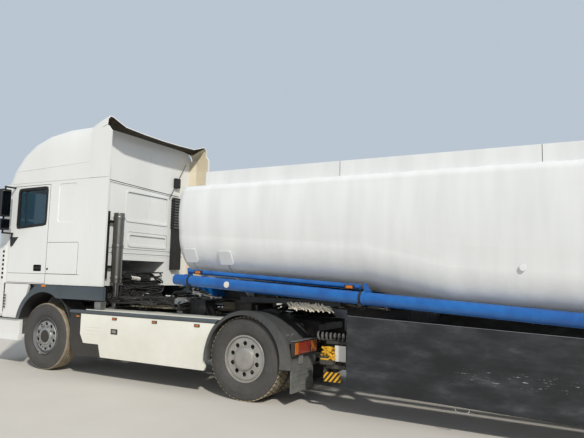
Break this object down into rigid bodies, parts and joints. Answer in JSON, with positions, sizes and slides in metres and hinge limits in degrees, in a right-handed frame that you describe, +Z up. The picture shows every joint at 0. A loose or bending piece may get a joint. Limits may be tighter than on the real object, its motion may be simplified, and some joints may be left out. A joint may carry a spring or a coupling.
{
  "type": "articulated tanker lorry",
  "caption": "Articulated road tanker: cab-over sleeper tractor with tilting cab, doors and steering, hinged at the king pin to a semi-trailer with a long liquid tank.",
  "frame": {"origin": "on the ground, at the middle of the lorry's length and width", "axes": "+X forward, +Y to the lorry's left, +Z up"},
  "size_m": [14.9, 3.08, 3.945],
  "materials": {
    "tyre": "dusty black rubber",
    "rim_front": "silver painted",
    "rim": "silver-grey paint",
    "cab_paint": "white gloss paint",
    "tank_paint": "white gloss paint on aluminium",
    "chassis_paint": "black chassis paint",
    "engine_casting": "cast and oily",
    "steel": "bare steel",
    "slate_plastic": "slate grey moulded plastic",
    "skirt_paint": "cream gloss",
    "deck_plate": "dusty plate",
    "black_plastic": "black moulded plastic",
    "blue_paint": "blue gloss paint",
    "black_paint": "scuffed black paint",
    "lamp_red": "red lens",
    "glass": "tinted glass",
    "seat_cloth": "woven cloth"
  },
  "bodies": {
    "chassis": {"frame": "chassis_paint", "engine": "engine_casting", "front_axle": "chassis_paint", "drive_axle": "chassis_paint", "bumper": "cab_paint", "front_arches": "slate_plastic", "side_skirts": "skirt_paint", "skirt_trim": "slate_plastic", "deck": "deck_plate", "fuel_tanks": "steel", "exhaust_stack": "steel", "rear_mudguards": "slate_plastic", "fifth_wheel": "steel", "tractor_lamps": "lamp_red"},
    "cab": {"cab_shell": "cab_paint", "cab_roof": "cab_paint", "air_deflectors": "cab_paint", "windscreen": "glass", "front_grille": "cab_paint", "seats": "seat_cloth", "dashboard": "black_plastic", "intake_duct": "black_plastic"},
    "door_left": {"door_left": "cab_paint", "door_glass_left": "glass", "mirrors_left": "black_plastic"},
    "door_right": {"door_right": "cab_paint", "door_glass_right": "glass", "mirrors_right": "black_plastic"},
    "knuckle_left": {"knuckle_left": "steel"},
    "knuckle_right": {"knuckle_right": "steel"},
    "trailer": {"tank": "tank_paint", "coaming": "tank_paint", "trailer_frame": "chassis_paint", "trailer_axles": "chassis_paint", "side_tubes": "blue_paint", "side_panels": "black_paint", "trailer_mudguards": "black_plastic", "trailer_lamps": "lamp_red"},
    "wheel_front_left": {"tyre_front_left": "tyre", "rim_front_left": "rim_front"},
    "wheel_front_right": {"tyre_front_right": "tyre", "rim_front_right": "rim_front"},
    "wheel_drive_left": {"tyre_drive_left": "tyre", "rim_drive_left": "rim"},
    "wheel_drive_right": {"tyre_drive_right": "tyre", "rim_drive_right": "rim"},
    "wheel_trailer_1_left": {"tyre_trailer_1_left": "tyre", "rim_trailer_1_left": "rim"},
    "wheel_trailer_1_right": {"tyre_trailer_1_right": "tyre", "rim_trailer_1_right": "rim"},
    "wheel_trailer_2_left": {"tyre_trailer_2_left": "tyre", "rim_trailer_2_left": "rim"},
    "wheel_trailer_2_right": {"tyre_trailer_2_right": "tyre", "rim_trailer_2_right": "rim"},
    "wheel_trailer_3_left": {"tyre_trailer_3_left": "tyre", "rim_trailer_3_left": "rim"},
    "wheel_trailer_3_right": {"tyre_trailer_3_right": "tyre", "rim_trailer_3_right": "rim"}
  },
  "joints": [
    {"name": "steer_left", "type": "hinge", "parent": "chassis", "child": "knuckle_left", "pos_m": [6.07, 0.93, 0.52], "axis": [0, 0, 1], "range_deg": [-38, 38]},
    {"name": "steer_right", "type": "hinge", "parent": "chassis", "child": "knuckle_right", "pos_m": [6.07, -0.93, 0.52], "axis": [0, 0, 1], "range_deg": [-38, 38]},
    {"name": "cab_tilt", "type": "hinge", "parent": "chassis", "child": "cab", "pos_m": [7.32, 0, 0.9], "axis": [0, 1, 0], "range_deg": [0, 60]},
    {"name": "door_left_hinge", "type": "hinge", "parent": "cab", "child": "door_left", "pos_m": [6.996, 1.239, 2.1], "axis": [0, 0, -1], "range_deg": [0, 70]},
    {"name": "door_right_hinge", "type": "hinge", "parent": "cab", "child": "door_right", "pos_m": [6.996, -1.239, 2.1], "axis": [0, 0, 1], "range_deg": [0, 70]},
    {"name": "king_pin_yaw", "type": "hinge", "parent": "chassis", "child": "trailer", "pos_m": [2.87, 0, 1.205], "axis": [0, 0, 1], "range_deg": [-90, 90]},
    {"name": "wheel_front_left_spin", "type": "hinge", "parent": "knuckle_left", "child": "wheel_front_left", "pos_m": [6.07, 1.035, 0.52], "axis": [0, 1, 0], "continuous": true},
    {"name": "wheel_front_right_spin", "type": "hinge", "parent": "knuckle_right", "child": "wheel_front_right", "pos_m": [6.07, -1.035, 0.52], "axis": [0, 1, 0], "continuous": true},
    {"name": "wheel_drive_left_spin", "type": "hinge", "parent": "chassis", "child": "wheel_drive_left", "pos_m": [2.27, 1.085, 0.52], "axis": [0, 1, 0], "continuous": true},
    {"name": "wheel_drive_right_spin", "type": "hinge", "parent": "chassis", "child": "wheel_drive_right", "pos_m": [2.27, -1.085, 0.52], "axis": [0, 1, 0], "continuous": true},
    {"name": "wheel_trailer_1_left_spin", "type": "hinge", "parent": "trailer", "child": "wheel_trailer_1_left", "pos_m": [-3.42, 1.02, 0.52], "axis": [0, 1, 0], "continuous": true},
    {"name": "wheel_trailer_1_right_spin", "type": "hinge", "parent": "trailer", "child": "wheel_trailer_1_right", "pos_m": [-3.42, -1.02, 0.52], "axis": [0, 1, 0], "continuous": true},
    {"name": "wheel_trailer_2_left_spin", "type": "hinge", "parent": "trailer", "child": "wheel_trailer_2_left", "pos_m": [-4.73, 1.02, 0.52], "axis": [0, 1, 0], "continuous": true},
    {"name": "wheel_trailer_2_right_spin", "type": "hinge", "parent": "trailer", "child": "wheel_trailer_2_right", "pos_m": [-4.73, -1.02, 0.52], "axis": [0, 1, 0], "continuous": true},
    {"name": "wheel_trailer_3_left_spin", "type": "hinge", "parent": "trailer", "child": "wheel_trailer_3_left", "pos_m": [-6.04, 1.02, 0.52], "axis": [0, 1, 0], "continuous": true},
    {"name": "wheel_trailer_3_right_spin", "type": "hinge", "parent": "trailer", "child": "wheel_trailer_3_right", "pos_m": [-6.04, -1.02, 0.52], "axis": [0, 1, 0], "continuous": true}
  ],
  "couplings": [
    {"joint": "steer_right", "follows": "steer_left", "ratio": 1}
  ]
}
